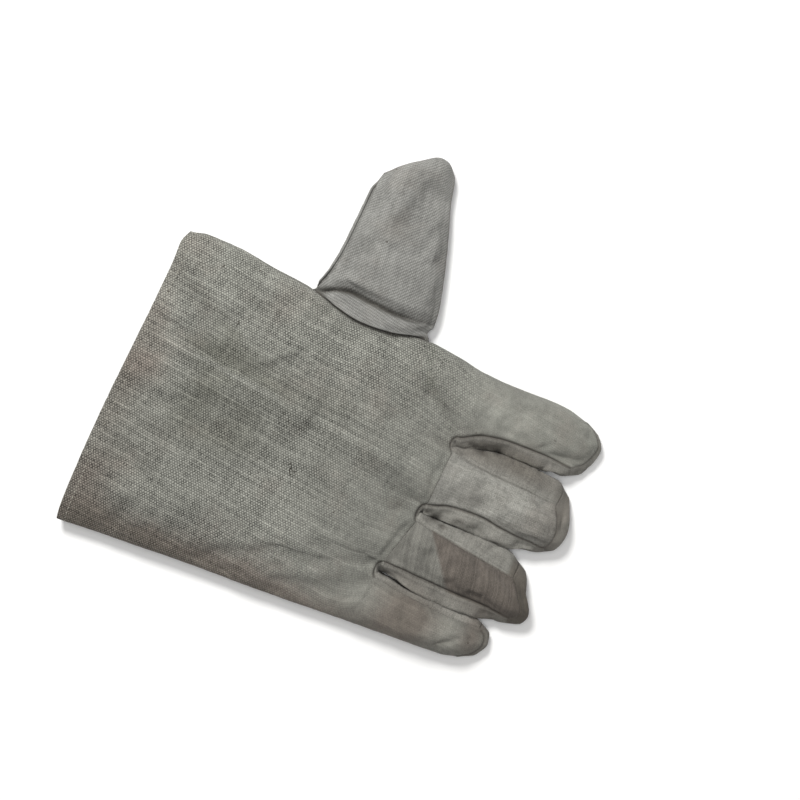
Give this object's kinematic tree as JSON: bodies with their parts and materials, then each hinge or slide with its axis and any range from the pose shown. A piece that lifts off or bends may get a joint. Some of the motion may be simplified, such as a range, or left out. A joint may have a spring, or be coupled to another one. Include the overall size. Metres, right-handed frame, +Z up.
{
  "type": "canvas work glove",
  "caption": "Left-hand canvas work glove lying palm up, with an open cuff, set-in finger fronts, side gussets between the fingers and a thumb stall standing out sideways.",
  "frame": {"origin": "centre of the glove's outline, on the surface it lies on", "axes": "+Z up out of the palm, +Y from the cuff towards the finger tips, +X towards the little finger; the thumb stands out to -X"},
  "size_m": [0.2474, 0.2428, 0.0259],
  "materials": {
    "palm_canvas": "plain-weave natural cotton canvas",
    "back_canvas": "plain-weave natural cotton canvas",
    "finger_canvas": "plain-weave natural cotton canvas",
    "ring_canvas": "plain-weave natural cotton canvas, a darker cut",
    "gusset_canvas": "plain-weave natural cotton canvas",
    "thumb_canvas": "twill-weave natural cotton canvas",
    "hem_canvas": "plain-weave natural cotton canvas, turned in and stitched"
  },
  "bodies": {
    "root": {"palm_panel": "palm_canvas", "back_panel": "back_canvas", "middle_finger_front": "finger_canvas", "ring_finger_front": "ring_canvas", "gusset_index_middle": "gusset_canvas", "gusset_middle_ring": "gusset_canvas", "gusset_ring_little": "gusset_canvas", "thumb_front": "thumb_canvas", "thumb_back": "thumb_canvas", "cuff_hem": "hem_canvas"}
  },
  "joints": []
}
